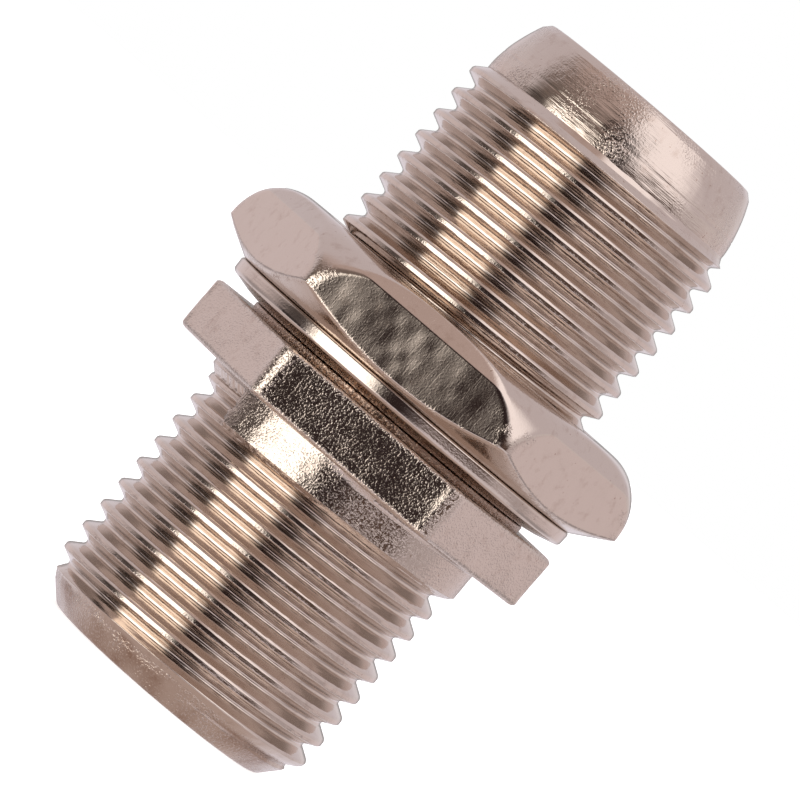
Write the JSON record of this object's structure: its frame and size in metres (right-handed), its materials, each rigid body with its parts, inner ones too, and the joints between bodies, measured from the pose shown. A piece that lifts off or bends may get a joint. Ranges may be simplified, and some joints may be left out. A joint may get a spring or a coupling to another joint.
{
  "type": "f connector",
  "caption": "Double-ended threaded coaxial port for a panel: sockets back to back on a hexagon-flanged body, held by a dished washer and a hexagon nut.",
  "frame": {"origin": "centre of the lower end face, which the part stands on", "axes": "+Z along the axis of both sockets, from the lower socket towards the nut end; the flange's flats face +Y and -Y and its corners lie on X"},
  "size_m": [0.0146, 0.013, 0.0217],
  "materials": {
    "body_nickel": "warm nickel plate over a die-cast body, bright on cut threads, grained on cast faces",
    "nut_nickel": "warm nickel plate, scratched and slightly pitted",
    "washer_nickel": "warm nickel plate over pressed sheet",
    "insulator_plastic": "natural white moulding",
    "contact_bronze": "bright spring bronze"
  },
  "bodies": {
    "port": {"body": "body_nickel", "lower_insulator": "insulator_plastic", "upper_insulator": "insulator_plastic", "centre_contact": "contact_bronze"},
    "loose_washer": {"washer": "washer_nickel"},
    "turning_nut": {"panel_nut": "nut_nickel"}
  },
  "joints": [
    {"name": "washer_slide", "type": "slide", "parent": "port", "child": "loose_washer", "axis": [0, 0, 1], "range_m": [0, 0.00595]},
    {"name": "nut_turn", "type": "hinge", "parent": "loose_washer", "child": "turning_nut", "pos_m": [0, 0, 0.01103], "axis": [0, 0, 1], "range_deg": [0, 2700]}
  ],
  "couplings": [
    {"joint": "nut_turn", "follows": "washer_slide", "rad_per_m": 7915.8}
  ]
}
